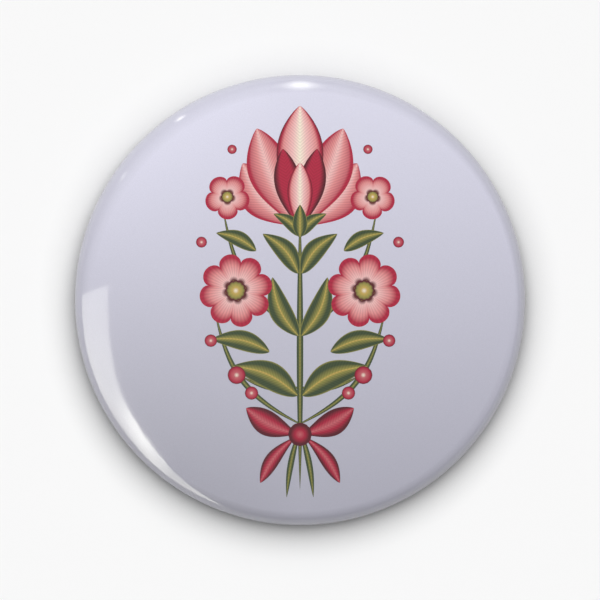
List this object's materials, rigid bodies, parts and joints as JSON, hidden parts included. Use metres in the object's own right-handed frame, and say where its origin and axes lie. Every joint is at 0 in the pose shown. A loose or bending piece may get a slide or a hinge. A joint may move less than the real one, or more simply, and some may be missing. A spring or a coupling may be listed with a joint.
{
  "type": "pin-back button badge",
  "caption": "Round domed button badge with a glossy printed face, a recessed metal back and a wire safety pin whose needle swings out of its catch.",
  "frame": {"origin": "middle of the back, on the plane that the rim's flat foot rests on", "axes": "+Z out through the domed printed face; +Y towards the top of the printed face; +X along the pin, from its spring eye towards its point"},
  "size_m": [0.058, 0.058, 0.007],
  "materials": {
    "film": "clear glossy film that shows the printed paper under it",
    "paper": "coated paper, of which the white cut edge shows inside the curl",
    "shell_tin": "bright tinplate",
    "plate_tin": "bright tinplate with a fine rolled grain",
    "wire": "nickel-plated spring wire"
  },
  "bodies": {
    "badge": {"cover_film": "film", "printed_paper": "paper", "front_shell": "shell_tin", "back_plate": "plate_tin", "pin_arm": "wire"},
    "needle": {"pin_needle": "wire"}
  },
  "joints": [
    {"name": "needle_open", "type": "hinge", "parent": "badge", "child": "needle", "pos_m": [-0.015, 0, 0.00281], "axis": [0, 0.1736, 0.9848], "range_deg": [0, 35]}
  ]
}
